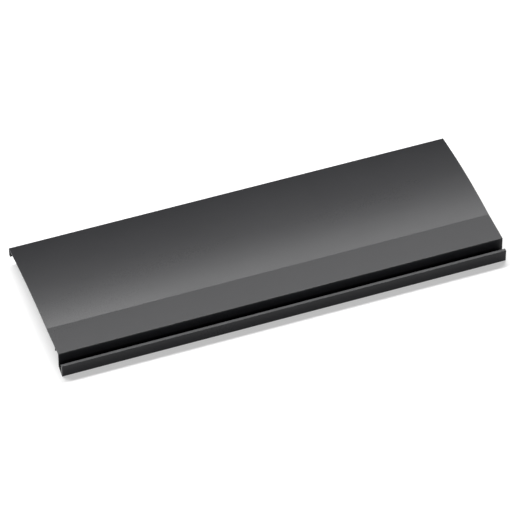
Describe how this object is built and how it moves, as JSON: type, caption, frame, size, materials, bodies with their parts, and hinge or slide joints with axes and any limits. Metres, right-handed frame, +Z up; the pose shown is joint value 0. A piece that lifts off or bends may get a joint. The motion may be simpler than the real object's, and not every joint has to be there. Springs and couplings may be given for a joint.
{
  "type": "fence wall capping",
  "caption": "Long arched fence capping with a hinged cover, a flat apron and a front drip channel, on brackets and rails.",
  "frame": {"origin": "centre of the base, on the plane of the pads' undersides", "axes": "+X along the fence to the right as seen from the front, +Y to the hinged back edge, +Z up"},
  "size_m": [0.6, 0.2186, 0.0303],
  "materials": {
    "charcoal_coating": "satin",
    "bare_aluminium": "mill",
    "spring_steel": "brushed",
    "zinc_plate": "satin",
    "black_rubber": "matte",
    "nylon": "matte"
  },
  "bodies": {
    "frame": {"rear_rail": "bare_aluminium", "front_rail": "bare_aluminium", "carrier_left": "bare_aluminium", "carrier_centre": "bare_aluminium", "carrier_right": "bare_aluminium", "clip_left": "spring_steel", "clip_centre": "spring_steel", "clip_right": "spring_steel", "buffer_left": "black_rubber", "buffer_centre": "black_rubber", "buffer_right": "black_rubber", "pads_left": "black_rubber", "pads_centre": "black_rubber", "pads_right": "black_rubber", "landing_strip": "black_rubber", "rear_rail_screws": "zinc_plate", "front_rail_screws": "zinc_plate", "rail_washers": "zinc_plate", "clip_rivets": "zinc_plate"},
    "cover": {"cap_cover": "charcoal_coating", "hinge_plug_left": "nylon", "hinge_plug_right": "nylon"}
  },
  "joints": [
    {"name": "cover_hinge", "type": "hinge", "parent": "frame", "child": "cover", "pos_m": [0, 0.1057, 0.0146], "axis": [-1, 0, 0], "range_deg": [0, 70]}
  ]
}
